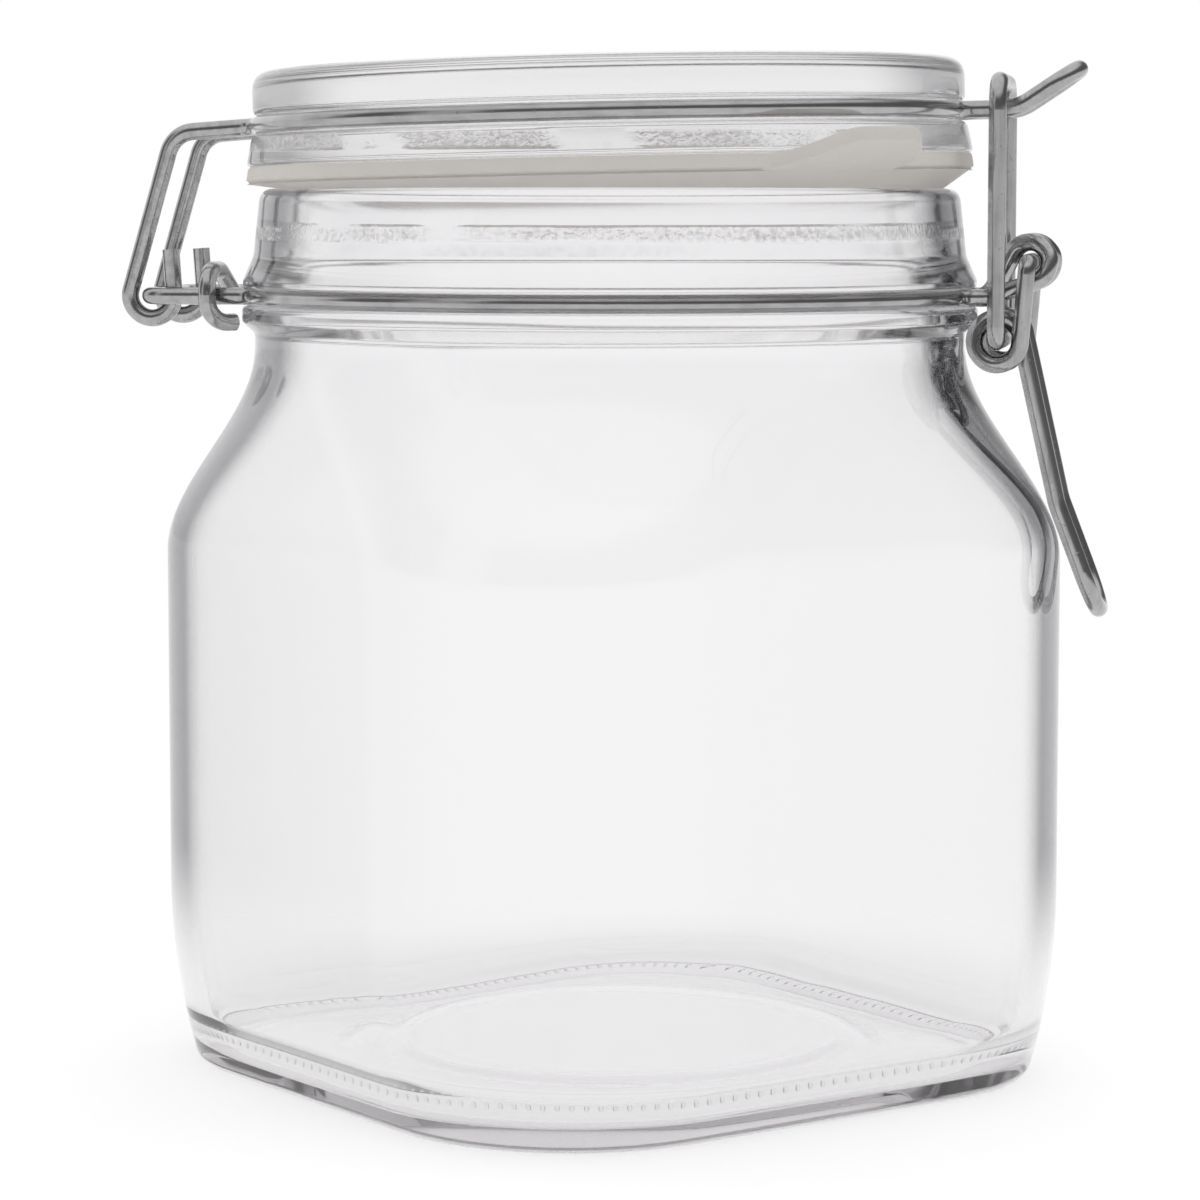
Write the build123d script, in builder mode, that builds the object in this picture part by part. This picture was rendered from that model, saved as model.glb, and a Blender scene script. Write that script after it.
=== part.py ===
from build123d import *
import os
from math import acos, asin, atan, atan2, ceil, cos, degrees, hypot, radians, sin, sqrt

# A glass storage jar with a wire swing-top closure, in millimetres.
# The origin is the middle of the base, +Z is up, the clasp is at +X and the hinge at -X.
# The body is a rounded square with its corners on the X and Y axes.

# Glass body
JAR_HEIGHT = 123.0  # base to rim
BODY_WIDTH = 107.0  # between opposite flat sides
BODY_CORNER = 31.0  # radius of the upright corners
FOOT_INSET = 3.8  # how far each side tapers in towards the base
FOOT_HEIGHT = 26.0  # where the taper of the foot ends
HEEL_ROUND = 1.6
SHOULDER_RISE = 28.5
WALL = 3.6
FLOOR = 3.0  # inside floor above the base plane
FLOOR_ROUND = 6.0  # inside corner between floor and wall
PUNT_R = 38.5  # base pressed up inside this circle
PUNT_DEPTH = 1.8
PUNT_SLOPE = 7.0

# Neck of the glass
NECK_HEIGHT = 22.0  # top of the shoulder to the rim
NECK_R = 49.4
NECK_WALL = 6.9  # at the mouth
MOUTH_LAND = 1.8  # upright part of the bore under the rim
BORE_FLARE = 2.1  # how much wider the bore is below the mouth
BORE_SLOPE = 9.8  # height over which it widens
RIM_INSET = 1.0  # the rim is this much slimmer than the neck
RIM_ROUND = 1.8
LIP_PROUD = 1.5  # flared edge above the wire groove
LIP_EDGE = 0.9
LIP_FLARE = 3.4  # height over which the lip runs into the neck
BEAD_PROUD = 1.7  # bead below the wire groove
BEAD_HEIGHT = 3.8
EDGE_ROUND = 0.8
NECK_BLEND = 2.2  # how far the shoulder runs up behind the bead

# Wire, all of one gauge
WIRE_D = 2.4
GROOVE_BITE = 0.5  # how far the neck's groove lets the wire in under the waist
WIRE_SLACK = 0.1  # between a wire and the groove that it sits in
BEND = 3.0  # usual bend, on the middle of the wire
LEAD = 4.0  # straight stretch where a ring runs off into a leg
TURN_GAP = 0.5  # between neighbouring turns
SIDE_GAP = 0.3  # between wires that swing side by side

# Neck wire
NECK_WIRE_RISE = 7.2  # above the top of the shoulder
HINGE_REACH = 14.5  # from the ring out to the hinge bar
HINGE_SIDE = 1.0  # between a lid leg and the hinge loop's leg
TAIL_GAP = 1.5  # between the hinge loop's free end and the ring
EYE_IN = 3.15  # from the middle to the inner side of each eye
EYE_FIT = 0.35  # round the lever's pivot end
EYE_ROOT = 3.75  # how far the wire runs out from the ring before it turns up to an eye
ROOT_BEND = 1.6
CURL_REACH = 4.8  # from the ring out to where its end curls round the hinge loop
CURL_FIT = 1.2
CURL_OFF_Y = 9.0  # where the end leaves the groove, on the far side
CURL_BEND = 3.4

# Lid of glass
SEAL_HEIGHT = 3.9  # rim to the lid's flange, on the jar's axis
LID_TILT = 1.2  # the springy gasket holds the clasp side up by this many degrees
LID_HEIGHT = 13.1
LID_PROUD = 0.8  # top disc beyond the rim
LID_ROUND = 2.6
FLANGE_PROUD = 1.9  # flange beyond the rim
FLANGE_TAPER = 0.9
FLANGE_HEIGHT = 4.4
LID_GROOVE = 1.1  # depth of the lid's wire groove under the rim's radius
BOSS_FIT = 1.3  # between the lid's boss and the mouth
BOSS_DEPTH = 4.4
BOSS_WALL = 5.2
BOSS_HOLLOW = 3.4
DISH_EDGE = 7.4  # from the rim's radius in to the shallow dish in the top
DISH_DEPTH = 1.6

# Gasket of rubber
GASKET_PROUD = 1.5  # beyond the rim
GASKET_FIT = 0.4  # round the lid's boss
SEAL_GAP = 0.05  # face to face with the rim and the flange
TAB_ANGLE = -43.0
TAB_WIDTH = 17.0
TAB_LENGTH = 9.0
TAB_ROUND = 5.5
TAB_THICK = 2.4

# Lid wire
TONGUE_HALF = 4.2
TONGUE_FLAT = 2.3  # level stretch of the tongue past the link loop
TONGUE_LENGTH = 10.5  # tip of the tongue past the link loop
TONGUE_RISE = 5.2
TONGUE_BEND = 6.0
LEG_HALF = 8.15
LEG_REACH = 12.0  # from the lid's ring back to the legs' bend
LEG_DROP = 0.6
LEG_BEND = 4.0
HOOK_FIT = 0.75  # round the hinge bar
HOOK_TURN = 200.0
HOOK_TAIL = 6.2

# Lever
PIVOT_UP = 4.8
COIL_BACK = 4.0  # from the coils out to the pivot
COIL_TUCK = 1.0  # how far the coils reach in under the bead
COIL_FIT = 0.7  # round the link loop's bar
PIN_BEND = 1.5
HANDLE_DROP = 22.2  # from the coils down to the handle's bend
HANDLE_GAP = 0.9  # between the handle and the jar's shoulder
TIP_DROP = 14.6
TIP_OUT = 5.6
HANDLE_BEND = 9.0

# Link loop
LATCH_GAP = 1.3  # room between the loop's top bar and the tongue
LINK_BEND = 4.0
LINK_FOOT_BEND = 2.0

WIRE_R = WIRE_D / 2
TURN_PITCH = WIRE_D + TURN_GAP
SHOULDER_END = JAR_HEIGHT - NECK_HEIGHT
SHOULDER_START = SHOULDER_END - SHOULDER_RISE
RIM_R = NECK_R - RIM_INSET
MOUTH_R = NECK_R - NECK_WALL
BORE_R = MOUTH_R + BORE_FLARE
NECK_WIRE_Z = SHOULDER_END + NECK_WIRE_RISE
GROOVE_R = NECK_R - WIRE_R - GROOVE_BITE
NECK_RING_R = GROOVE_R + WIRE_SLACK + WIRE_R
HINGE_X = -(NECK_RING_R + HINGE_REACH)
HINGE_HALF = LEG_HALF + WIRE_D + HINGE_SIDE
EYE_OUT = EYE_IN + TURN_PITCH
EYE_R = WIRE_D + EYE_FIT
COIL_R = WIRE_D + COIL_FIT
COIL_X = NECK_R + BEAD_PROUD - COIL_TUCK + COIL_R + WIRE_R
COIL_Z = NECK_WIRE_Z - WIRE_D - SIDE_GAP - COIL_R
PIVOT_X = COIL_X + COIL_BACK
PIVOT_Z = NECK_WIRE_Z + PIVOT_UP
PIN_END = WIRE_R + SIDE_GAP
LEVER_OUT = EYE_OUT + WIRE_D + SIDE_GAP
LEVER_IN = LEVER_OUT - TURN_PITCH
LINK_HALF = LEVER_OUT + WIRE_D + SIDE_GAP
LID_SEAT_Z = JAR_HEIGHT + SEAL_HEIGHT
LID_GROOVE_R = RIM_R - LID_GROOVE
LID_RING_R = LID_GROOVE_R + WIRE_SLACK + WIRE_R
LID_WIRE_Z = FLANGE_HEIGHT + WIRE_SLACK + WIRE_R
BOSS_R = MOUTH_R - BOSS_FIT
HOOK_R = WIRE_D + HOOK_FIT
DISH_R = RIM_R - DISH_EDGE

lid_frame = Plane(
    origin=(0, 0, LID_SEAT_Z),
    x_dir=(cos(radians(LID_TILT)), 0, sin(radians(LID_TILT))),
    z_dir=(-sin(radians(LID_TILT)), 0, cos(radians(LID_TILT))),
)


def smooth(t):
    """Ease from 0 to 1 with a level start and end."""
    return t * t * (3 - 2 * t)


def foot_taper(z):
    """How far the foot has drawn in at a height."""
    return FOOT_INSET * max(0, 1 - z / FOOT_HEIGHT) ** 2


def outer_section(z):
    """Width and corner radius of the outside of the body at a height."""
    inset = foot_taper(z)
    if z < HEEL_ROUND:
        inset += HEEL_ROUND - sqrt(HEEL_ROUND**2 - (HEEL_ROUND - z) ** 2)
    width, corner = BODY_WIDTH - 2 * inset, BODY_CORNER - inset
    if z > SHOULDER_START:
        ease = smooth(min(1, (z - SHOULDER_START) / SHOULDER_RISE))
        width += ease * (2 * NECK_R - width)
        corner += ease * (NECK_R - EDGE_ROUND - corner)
    return width, corner


def inner_section(z):
    """Width and corner radius of the inside of the body at a height."""
    inset = WALL + foot_taper(z)
    width, corner = BODY_WIDTH - 2 * inset, BODY_CORNER - inset
    up = z - FLOOR
    if up < FLOOR_ROUND:
        width -= 2 * (FLOOR_ROUND - sqrt(FLOOR_ROUND**2 - (FLOOR_ROUND - up) ** 2))
    if z > SHOULDER_START:
        ease = smooth(min(1, (z - SHOULDER_START) / SHOULDER_RISE))
        width += ease * (2 * BORE_R - width)
        corner += ease * (BORE_R - EDGE_ROUND - corner)
    return width, corner


def corner_reach(z):
    """Distance from the axis to the outside of an upright corner."""
    width, corner = outer_section(z)
    return (width / 2 - corner) * sqrt(2) + corner


def spread(low, high, count):
    """Evenly spaced heights, both ends included."""
    return [low + (high - low) * i / (count - 1) for i in range(count)]


def ring_exit(ring_r, leg_y):
    """Where a straight lead leaves a ring, and where it turns into a leg along X."""
    reach = hypot(ring_r, LEAD)
    angle = asin(leg_y / reach) + atan(LEAD / ring_r)
    return ring_r * cos(angle), ring_r * sin(angle), sqrt(reach**2 - leg_y**2)


def tangent_angle(middle, radius, point, side):
    """Angle on a circle in XZ, in degrees, where a straight run from a point touches it."""
    dx, dz = point[0] - middle[0], point[1] - middle[1]
    return degrees(atan2(dz, dx) + side * acos(radius / hypot(dx, dz)))


def turn_corners(middle, radius, first, turn, y_from, y_to):
    """Corners of the straight runs that, once rounded, make a turn about an axis along Y."""
    count = ceil(abs(turn) / 70)
    step = turn / count
    reach = radius / cos(radians(step / 2))
    corners = []
    for i in range(count):
        share = i / (count - 1)
        angle = radians(first + step * (i + 0.5))
        y = y_from + (y_to - y_from) * share
        corners.append((middle[0] + reach * cos(angle), y, middle[1] + reach * sin(angle)))
    return corners


def mirrored(points):
    """The same points on the other side of the XZ plane, in reverse order."""
    return [(x, -y, z) for x, y, z in reversed(points)]


def on_lid(x, y, z):
    """A point given in the lid's own frame."""
    return lid_frame.from_local_coords(Vector(x, y, z))


def least_gap(path):
    """Least gap between two stretches of one wire, measured on points along it."""
    count = int(path.length)
    points = [path @ (i / count) for i in range(count + 1)]
    skip = 4 * WIRE_D
    gaps = [
        (points[i] - points[j]).length - WIRE_D
        for i in range(count + 1)
        for j in range(i)
        if i - j > skip and not (path.is_closed and i - j > count - skip)
    ]
    return min(gaps)


# Jar: lofted body, turned neck, hollow inside
bead_top = NECK_WIRE_Z - WIRE_R - WIRE_SLACK
lip_bottom = NECK_WIRE_Z + WIRE_R + WIRE_SLACK
shoulder_top = SHOULDER_END + NECK_BLEND
flare_top = JAR_HEIGHT - MOUTH_LAND
foot_levels = spread(0, HEEL_ROUND, 4)[:-1] + spread(HEEL_ROUND, FOOT_HEIGHT, 5)
shoulder_levels = spread(SHOULDER_START, SHOULDER_END, 13) + [shoulder_top]
floor_levels = spread(FLOOR, FLOOR + FLOOR_ROUND, 5)[:-1] + spread(FLOOR + FLOOR_ROUND, FOOT_HEIGHT, 5)
neck_outline = [
    (MOUTH_R - WALL, SHOULDER_END),
    (NECK_R - WIRE_SLACK, SHOULDER_END),
    (NECK_R - WIRE_SLACK, bead_top - BEAD_HEIGHT),
    (NECK_R + BEAD_PROUD, bead_top - BEAD_HEIGHT + BEAD_PROUD),
    (NECK_R + BEAD_PROUD, bead_top),
    (GROOVE_R, bead_top),
    (GROOVE_R, lip_bottom),
    (NECK_R + LIP_PROUD, lip_bottom),
    (NECK_R + LIP_PROUD, lip_bottom + LIP_EDGE),
    (NECK_R, lip_bottom + LIP_EDGE + LIP_FLARE),
    (RIM_R, JAR_HEIGHT),
    (MOUTH_R - WALL, JAR_HEIGHT),
]
neck_rounds = [0, 0, 0, EDGE_ROUND, EDGE_ROUND, 0, 0, LIP_EDGE / 2, LIP_EDGE / 2, LIP_FLARE, RIM_ROUND, 0]

with BuildPart() as jar:
    for z in foot_levels:
        with BuildSketch(Plane.XY.offset(z)):
            width, corner = outer_section(z)
            RectangleRounded(width, width, corner, rotation=45)
    loft(ruled=True)
    with BuildSketch(Plane.XY.offset(FOOT_HEIGHT)):
        RectangleRounded(BODY_WIDTH, BODY_WIDTH, BODY_CORNER, rotation=45)
    extrude(amount=SHOULDER_START - FOOT_HEIGHT)
    for z in shoulder_levels:
        with BuildSketch(Plane.XY.offset(z)):
            width, corner = outer_section(z)
            RectangleRounded(width, width, corner, rotation=45)
    loft(ruled=True)
    with BuildSketch(Plane.XZ):
        with BuildLine():
            FilletPolyline(*neck_outline, radius=neck_rounds, close=True)
        make_face()
    revolve(axis=Axis.Z)
    for z in floor_levels:
        with BuildSketch(Plane.XY.offset(z)):
            width, corner = inner_section(z)
            RectangleRounded(width, width, corner, rotation=45)
    loft(ruled=True, mode=Mode.SUBTRACT)
    with BuildSketch(Plane.XY.offset(FOOT_HEIGHT)):
        RectangleRounded(*[BODY_WIDTH - 2 * WALL] * 2, BODY_CORNER - WALL, rotation=45)
    extrude(amount=SHOULDER_START - FOOT_HEIGHT, mode=Mode.SUBTRACT)
    for z in shoulder_levels:
        with BuildSketch(Plane.XY.offset(z)):
            width, corner = inner_section(z)
            RectangleRounded(width, width, corner, rotation=45)
    loft(ruled=True, mode=Mode.SUBTRACT)
    with BuildSketch(Plane.XZ):
        with BuildLine():
            Polyline(
                (0, SHOULDER_END),
                (BORE_R, SHOULDER_END),
                (BORE_R, flare_top - BORE_SLOPE),
                (MOUTH_R, flare_top),
                (MOUTH_R, JAR_HEIGHT),
                (0, JAR_HEIGHT),
                close=True,
            )
        make_face()
    revolve(axis=Axis.Z, mode=Mode.SUBTRACT)
    for level, mode in ((FLOOR, Mode.ADD), (0, Mode.SUBTRACT)):
        with BuildSketch(Plane.XZ):
            with BuildLine():
                Polyline(
                    (0, level),
                    (PUNT_R, level),
                    (PUNT_R - PUNT_SLOPE, level + PUNT_DEPTH),
                    (0, level + PUNT_DEPTH),
                    close=True,
                )
            make_face()
        revolve(axis=Axis.Z, mode=mode)
jar.part.label = "jar"

# Lid: turned about its own tilted axis
lid_section = Plane(lid_frame.origin, x_dir=lid_frame.x_dir, z_dir=-lid_frame.y_dir)
lid_axis = Axis(lid_frame.origin, lid_frame.z_dir)
groove_top = LID_WIRE_Z + WIRE_R + WIRE_SLACK
lid_outline = [
    (0, BOSS_HOLLOW - BOSS_DEPTH),
    (BOSS_R - BOSS_WALL, BOSS_HOLLOW - BOSS_DEPTH),
    (BOSS_R - BOSS_WALL, -BOSS_DEPTH),
    (BOSS_R, -BOSS_DEPTH),
    (BOSS_R, 0),
    (RIM_R + FLANGE_PROUD, 0),
    (RIM_R + FLANGE_PROUD - FLANGE_TAPER, FLANGE_HEIGHT),
    (LID_GROOVE_R, FLANGE_HEIGHT),
    (LID_GROOVE_R, groove_top),
    (RIM_R + LID_PROUD, groove_top),
    (RIM_R + LID_PROUD, LID_HEIGHT),
    (DISH_R, LID_HEIGHT),
    (DISH_R - DISH_DEPTH, LID_HEIGHT - DISH_DEPTH),
    (0, LID_HEIGHT - DISH_DEPTH),
]
lid_rounds = [0, EDGE_ROUND, EDGE_ROUND, EDGE_ROUND, 0, EDGE_ROUND, EDGE_ROUND, 0, 0]
lid_rounds += [EDGE_ROUND, LID_ROUND, LID_ROUND, EDGE_ROUND, 0]

with BuildPart() as lid:
    with BuildSketch(lid_section):
        with BuildLine():
            FilletPolyline(*lid_outline, radius=lid_rounds, close=True)
        make_face()
    revolve(axis=lid_axis)
lid.part.label = "lid"

# Gasket: a ring squeezed between the rim and the tilted flange, with a pull tab
gasket_r = RIM_R + GASKET_PROUD
tab_inner = BOSS_R + GASKET_FIT + TAB_THICK
tab_outer = gasket_r + TAB_LENGTH

with BuildPart() as gasket:
    with BuildSketch(Plane.XY.offset(JAR_HEIGHT + SEAL_GAP)):
        Circle(gasket_r)
        Circle(BOSS_R + GASKET_FIT, mode=Mode.SUBTRACT)
    extrude(amount=2 * SEAL_HEIGHT)
    split(bisect_by=lid_frame.offset(-SEAL_GAP), keep=Keep.BOTTOM)
    with BuildSketch(lid_frame.offset(-SEAL_GAP)):
        with PolarLocations((tab_inner + tab_outer) / 2, 1, start_angle=TAB_ANGLE):
            RectangleRounded(tab_outer - tab_inner, TAB_WIDTH, TAB_ROUND)
    extrude(amount=-TAB_THICK)
gasket.part.label = "gasket"

# Neck wire: hinge loop, ring, eye, front run, eye, ring, curled end
near_x, near_y, hinge_root = ring_exit(NECK_RING_R, HINGE_HALF)
front_x, front_y, eye_root = ring_exit(NECK_RING_R, EYE_OUT)
off_x, off_y, off_root = ring_exit(NECK_RING_R, CURL_OFF_Y - LEAD)
root_out = (NECK_RING_R + EYE_ROOT, NECK_WIRE_Z)
pivot = (PIVOT_X, PIVOT_Z)
eye_first = tangent_angle(pivot, EYE_R, root_out, 1)
eye_last = tangent_angle(pivot, EYE_R, root_out, -1)
eye_corners = turn_corners(pivot, EYE_R, eye_first, eye_last + 360 - eye_first, -EYE_OUT, -EYE_IN)
eye_run = [
    (front_x, -front_y, NECK_WIRE_Z),
    (eye_root, -EYE_OUT, NECK_WIRE_Z),
    (root_out[0], -EYE_OUT, NECK_WIRE_Z),
    *eye_corners,
    (root_out[0], -EYE_IN, NECK_WIRE_Z),
    (NECK_RING_R, -EYE_IN, NECK_WIRE_Z),
]
eye_bends = [BEND, BEND, *[EYE_R - WIRE_SLACK] * len(eye_corners), BEND, ROOT_BEND]
hinge_tail = NECK_RING_R + WIRE_D + TAIL_GAP
hinge_run = [
    (-hinge_tail, HINGE_HALF, NECK_WIRE_Z),
    (HINGE_X, HINGE_HALF, NECK_WIRE_Z),
    (HINGE_X, -HINGE_HALF, NECK_WIRE_Z),
    (-hinge_root, -HINGE_HALF, NECK_WIRE_Z),
    (-near_x, -near_y, NECK_WIRE_Z),
]
curl_x = -(NECK_RING_R + CURL_REACH)
curl = WIRE_D + CURL_FIT
curl_run = [
    (-off_x, off_y, NECK_WIRE_Z),
    (-off_root, CURL_OFF_Y - LEAD, NECK_WIRE_Z),
    (curl_x, 0, NECK_WIRE_Z),
    (curl_x, -HINGE_HALF + curl, NECK_WIRE_Z + curl),
    (curl_x, -HINGE_HALF - curl, NECK_WIRE_Z + curl),
    (curl_x, -HINGE_HALF - curl, NECK_WIRE_Z - curl),
    (curl_x + BEND, -HINGE_HALF, NECK_WIRE_Z - curl),
]

with BuildPart() as neck_wire:
    with BuildLine() as neck_path:
        FilletPolyline(*hinge_run, radius=BEND)
        ThreePointArc(
            (-near_x, -near_y, NECK_WIRE_Z),
            (0, -NECK_RING_R, NECK_WIRE_Z),
            (front_x, -front_y, NECK_WIRE_Z),
        )
        FilletPolyline(*eye_run, *mirrored(eye_run), radius=eye_bends + eye_bends[::-1])
        ThreePointArc(
            (front_x, front_y, NECK_WIRE_Z),
            (0, NECK_RING_R, NECK_WIRE_Z),
            (-off_x, off_y, NECK_WIRE_Z),
        )
        FilletPolyline(*curl_run, radius=CURL_BEND)
    with BuildSketch(Plane(neck_path.wire() @ 0, z_dir=neck_path.wire() % 0)):
        Circle(WIRE_R)
    sweep(path=neck_path.wire())
neck_wire.part.label = "neck_wire"

# Lid wire: hooked leg, ring, tongue, ring, hooked leg
tongue_x, tongue_y, tongue_root = ring_exit(LID_RING_R, TONGUE_HALF)
leg_x, leg_y, leg_root = ring_exit(LID_RING_R, LEG_HALF)
tongue_run = [
    on_lid(tongue_x, -tongue_y, LID_WIRE_Z),
    on_lid(tongue_root, -TONGUE_HALF, LID_WIRE_Z),
    on_lid(COIL_X + TONGUE_FLAT, -TONGUE_HALF, LID_WIRE_Z),
    on_lid(COIL_X + TONGUE_LENGTH, -TONGUE_HALF, LID_WIRE_Z + TONGUE_RISE),
]
tongue_run = [tuple(point) for point in tongue_run]
tongue_bends = [BEND, TONGUE_BEND, TONGUE_HALF - WIRE_SLACK]
hinge = (HINGE_X, NECK_WIRE_Z)
leg_bend = on_lid(-leg_root - LEG_REACH, -LEG_HALF, LID_WIRE_Z - LEG_DROP)
hook_first = tangent_angle(hinge, HOOK_R, (leg_bend.X, leg_bend.Z), 1)
hook_corners = turn_corners(hinge, HOOK_R, hook_first, HOOK_TURN, -LEG_HALF, -LEG_HALF)
hook_last = radians(hook_first + HOOK_TURN)
hook_end = (
    HINGE_X + HOOK_R * cos(hook_last) - HOOK_TAIL * sin(hook_last),
    -LEG_HALF,
    NECK_WIRE_Z + HOOK_R * sin(hook_last) + HOOK_TAIL * cos(hook_last),
)
leg_run = [
    hook_end,
    *reversed(hook_corners),
    tuple(leg_bend),
    tuple(on_lid(-leg_root, -LEG_HALF, LID_WIRE_Z)),
    tuple(on_lid(-leg_x, -leg_y, LID_WIRE_Z)),
]
leg_bends = [*[HOOK_R - WIRE_SLACK] * len(hook_corners), LEG_BEND, BEND]

with BuildPart() as lid_wire:
    with BuildLine() as lid_path:
        FilletPolyline(*leg_run, radius=leg_bends)
        ThreePointArc(leg_run[-1], on_lid(0, -LID_RING_R, LID_WIRE_Z), tongue_run[0])
        FilletPolyline(*tongue_run, *mirrored(tongue_run), radius=tongue_bends + tongue_bends[::-1])
        ThreePointArc(
            mirrored(tongue_run)[-1],
            on_lid(0, LID_RING_R, LID_WIRE_Z),
            mirrored(leg_run)[0],
        )
        FilletPolyline(*mirrored(leg_run), radius=leg_bends[::-1])
    with BuildSketch(Plane(lid_path.wire() @ 0, z_dir=lid_path.wire() % 0)):
        Circle(WIRE_R)
    sweep(path=lid_path.wire())
lid_wire.part.label = "lid_wire"

# Lever: pivot end, coil, handle, coil, pivot end
coil = (COIL_X, COIL_Z)
handle_z = COIL_Z - HANDLE_DROP
tip_slope = TIP_OUT / TIP_DROP
side_x = corner_reach(SHOULDER_START) - tip_slope * (handle_z - SHOULDER_START)
handle_x = max(corner_reach(handle_z), side_x) + HANDLE_GAP + WIRE_R
coil_first = tangent_angle(coil, COIL_R, pivot, -1)
coil_last = tangent_angle(coil, COIL_R, (handle_x, handle_z), 1)
coil_corners = turn_corners(
    coil, COIL_R, coil_first, coil_last - coil_first - 360, -LEVER_OUT, -LEVER_IN
)
lever_run = [
    (PIVOT_X, -PIN_END, PIVOT_Z),
    (PIVOT_X, -LEVER_OUT, PIVOT_Z),
    *coil_corners,
    (handle_x, -LEVER_IN, handle_z),
    (handle_x + TIP_OUT, -LEVER_IN, handle_z - TIP_DROP),
]
lever_bends = [PIN_BEND, *[COIL_R - WIRE_SLACK] * len(coil_corners), HANDLE_BEND, LEVER_IN - WIRE_SLACK]

with BuildPart() as lever:
    with BuildLine() as lever_path:
        FilletPolyline(*lever_run, *mirrored(lever_run), radius=lever_bends + lever_bends[::-1])
    with BuildSketch(Plane(lever_path.wire() @ 0, z_dir=lever_path.wire() % 0)):
        Circle(WIRE_R)
    sweep(path=lever_path.wire())
lever.part.label = "lever"

# Link loop: a closed loop from the coils up over the tongue
tongue_under = on_lid(COIL_X, 0, LID_WIRE_Z).Z
link_top = tongue_under + WIRE_D + LATCH_GAP
link_run = [
    (0, COIL_Z),
    (LINK_HALF, COIL_Z),
    (LINK_HALF, link_top),
    (-LINK_HALF, link_top),
    (-LINK_HALF, COIL_Z),
]
link_bends = [0, LINK_FOOT_BEND, LINK_BEND, LINK_BEND, LINK_FOOT_BEND]

with BuildPart() as link_loop:
    with BuildLine(Plane.YZ.offset(COIL_X)) as link_path:
        FilletPolyline(*link_run, radius=link_bends, close=True)
    with BuildSketch(Plane(link_path.wire() @ 0, z_dir=link_path.wire() % 0)):
        Circle(WIRE_R)
    sweep(path=link_path.wire())
link_loop.part.label = "link_loop"

pieces = [jar, lid, gasket, neck_wire, lid_wire, lever, link_loop]
wires = {"neck_wire": neck_path, "lid_wire": lid_path, "lever": lever_path, "link_loop": link_path}

os.makedirs("parts", exist_ok=True)
for piece in pieces:
    export_step(piece.part, f"parts/{piece.part.label}.step")
for name, path in wires.items():
    print(f"{name}: least gap to itself {least_gap(path.wire()):.2f} mm")
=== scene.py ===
import math

import bmesh
import bpy
import numpy as np
from mathutils import Matrix, Vector


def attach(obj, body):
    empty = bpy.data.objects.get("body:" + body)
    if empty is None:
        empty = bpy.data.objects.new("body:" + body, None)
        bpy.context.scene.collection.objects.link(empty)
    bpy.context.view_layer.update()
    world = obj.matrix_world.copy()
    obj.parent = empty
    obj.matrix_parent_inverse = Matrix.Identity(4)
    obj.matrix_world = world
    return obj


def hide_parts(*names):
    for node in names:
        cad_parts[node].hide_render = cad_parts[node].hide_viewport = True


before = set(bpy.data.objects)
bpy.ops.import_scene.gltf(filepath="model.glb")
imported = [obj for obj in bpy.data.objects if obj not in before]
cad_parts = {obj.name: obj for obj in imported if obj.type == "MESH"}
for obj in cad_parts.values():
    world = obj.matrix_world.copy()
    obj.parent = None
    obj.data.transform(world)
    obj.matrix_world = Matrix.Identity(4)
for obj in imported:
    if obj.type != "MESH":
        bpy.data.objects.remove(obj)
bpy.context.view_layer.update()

# Sizes of the jar, in metres, the same as the model's
JAR_HEIGHT = 0.123
BODY_HALF = 0.0535
BODY_CORNER = 0.031
FOOT_INSET = 0.0038
FOOT_HEIGHT = 0.026
HEEL_ROUND = 0.0016
SHOULDER_START = 0.0725
SHOULDER_END = 0.101
WALL = 0.0036
FLOOR = 0.003
FLOOR_ROUND = 0.006
PUSH_UP_R = 0.0385
PUSH_UP = 0.0018
PUSH_UP_EDGE = 0.2
NECK_R = 0.0494
NECK_STEP = 0.0001
LOW_BEAD_OUT = 0.0017
LOW_BEAD_FOOT = 0.1031
LOW_BEAD_FULL = 0.1048
GROOVE_R = 0.0477
GROOVE_LOW = 0.1069
GROOVE_HIGH = 0.1095
HIGH_BEAD_OUT = 0.0015
HIGH_BEAD_FULL = 0.1104
HIGH_BEAD_END = 0.1138
RIM_R = 0.0484
MOUTH_R = 0.0425
MOUTH_LOW = 0.1212
BORE_R = 0.0446
BORE_TOP = 0.1114

# Unevenness of the pressed glass, and the ridges under the heel
OUTER_RIPPLE = 0.000012
INNER_RIPPLE = 0.00007
TICK_RISE = 0.00022
TICK_INSET = 0.0016

# Sizes of the lid, in its own tilted frame
LID_SEAT = 0.1269
LID_TILT = math.radians(1.2)
POLE_R = 0.003
HOLLOW_R = 0.036
HOLLOW_TOP = -0.001
BOSS_R = 0.0412
BOSS_LOW = -0.0044
FLANGE_OUT = 0.0019
FLANGE_TOP_OUT = 0.0010
LID_GROOVE_R = 0.0473
LID_GROOVE_LOW = 0.0044
LID_GROOVE_HIGH = 0.0070
LID_EDGE_OUT = 0.0008
LID_TOP = 0.0131
DISH_R = 0.041
DISH_FLOOR_R = 0.0394
DISH_FLOOR = 0.0115

# Sizes of the gasket and its pull tab, with the tab's slope and round end in degrees round the ring
GASKET_R = 0.0499
GASKET_INNER = 0.0416
GASKET_THICK = 0.0023
RIM_REST_R = 0.0462
RIM_GAP = 0.00005
FLANGE_GAP = 0.00006
GASKET_ROUND = 0.0002
GASKET_LIP = 0.0003
GASKET_ROUND_WIDE = 0.0004
TAB_AT = math.radians(-43)
TAB_LONG = 0.009
TAB_SLOPE_FROM = -16
TAB_SLOPE = 11
TAB_END_FROM = 2.5
TAB_END = 6.8
TAB_CURL = 0.0034
TAB_CURL_FROM = 0.0505
TAB_CURL_POWER = 1.6
TAB_THINNING = 0.1
TAB_POINTS = 12

# Points round each turned piece, and the weights that soften its corners
TURNS = 288
SOFTEN = (0.0625, 0.25, 0.375, 0.25, 0.0625)

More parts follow.
